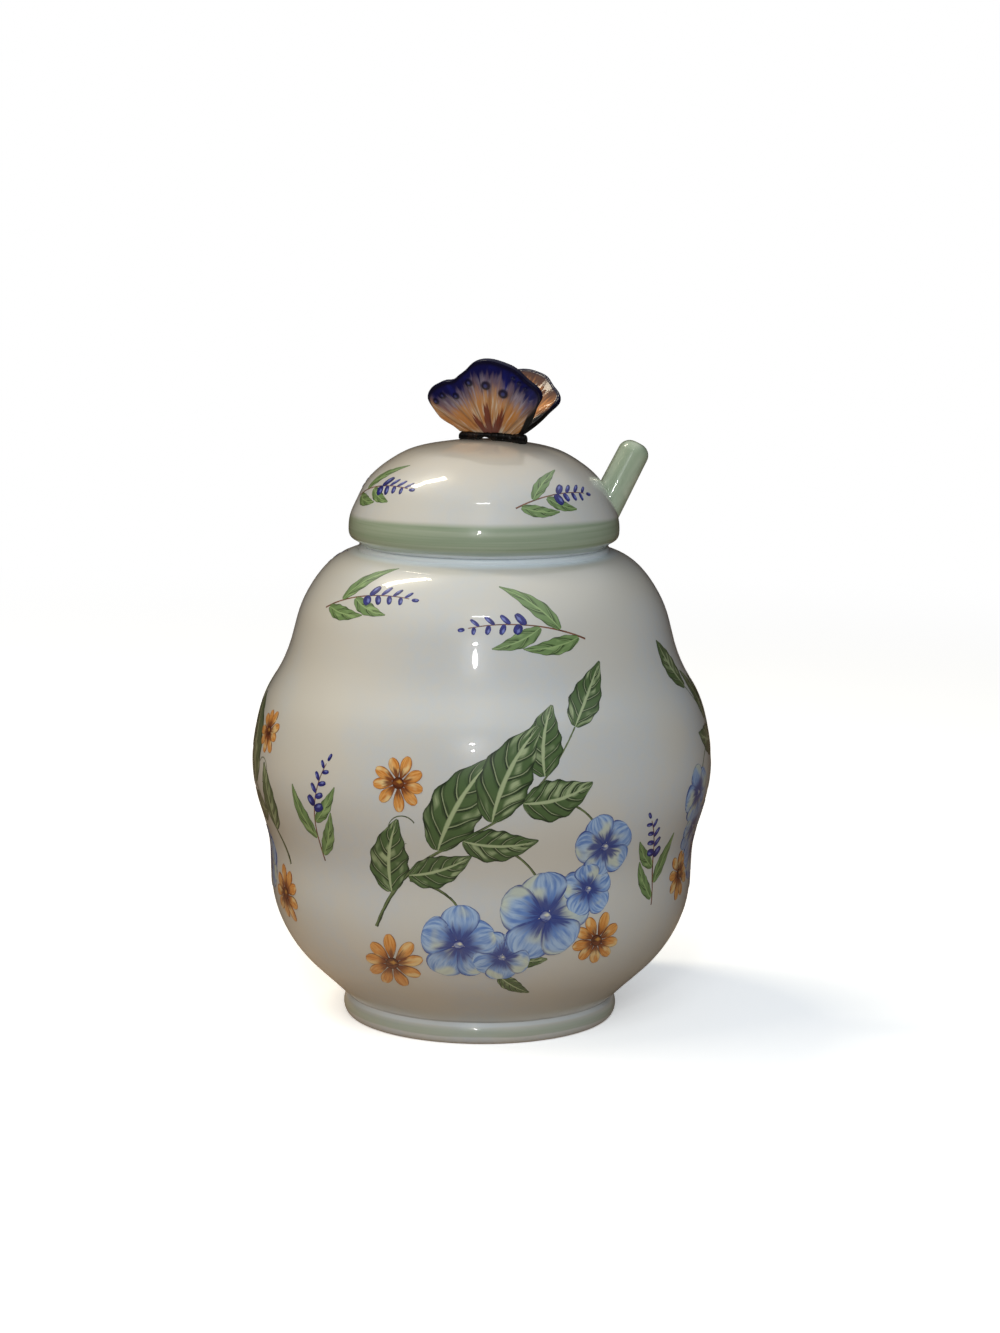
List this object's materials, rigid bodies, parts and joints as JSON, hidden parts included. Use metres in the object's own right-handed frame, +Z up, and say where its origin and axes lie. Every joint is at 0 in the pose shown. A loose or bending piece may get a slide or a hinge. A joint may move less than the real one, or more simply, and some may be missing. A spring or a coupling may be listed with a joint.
{
  "type": "honey pot",
  "caption": "Glazed ceramic honey pot with a softly ringed body on a foot, a domed lift-off lid with a butterfly knob, and a dipper that leans out through a notch.",
  "frame": {"origin": "centre of the foot's underside, on the pot's axis", "axes": "+Z up along the pot's axis; +X from the axis towards the notch where the dipper leans out; +Y completes a right-handed frame"},
  "size_m": [0.1, 0.1, 0.1443],
  "materials": {
    "pot_glaze": "glossy off-white glaze with a painted floral design and a sage green band on the foot",
    "lid_glaze": "glossy off-white glaze with a painted sprig and a sage green band round the rim",
    "butterfly_black_glaze": "glossy near-black underglaze",
    "butterfly_wing_glaze": "glossy painted wings, deep blue at the edge running to tan at the root",
    "dipper_green_glaze": "glossy sage green glaze"
  },
  "bodies": {
    "pot": {"pot_body": "pot_glaze"},
    "lid": {"lid": "lid_glaze", "butterfly_body": "butterfly_black_glaze", "butterfly_right_wing": "butterfly_wing_glaze", "butterfly_left_wing": "butterfly_wing_glaze"},
    "dipper": {"dipper_handle": "dipper_green_glaze", "dipper_head": "dipper_green_glaze"}
  },
  "joints": [
    {"name": "lid_lift", "type": "slide", "parent": "pot", "child": "lid", "axis": [0, 0, 1], "range_m": [0, 0.045]},
    {"name": "dipper_draw", "type": "slide", "parent": "pot", "child": "dipper", "axis": [0.4647, 0, 0.8855], "range_m": [0, 0.07]}
  ]
}
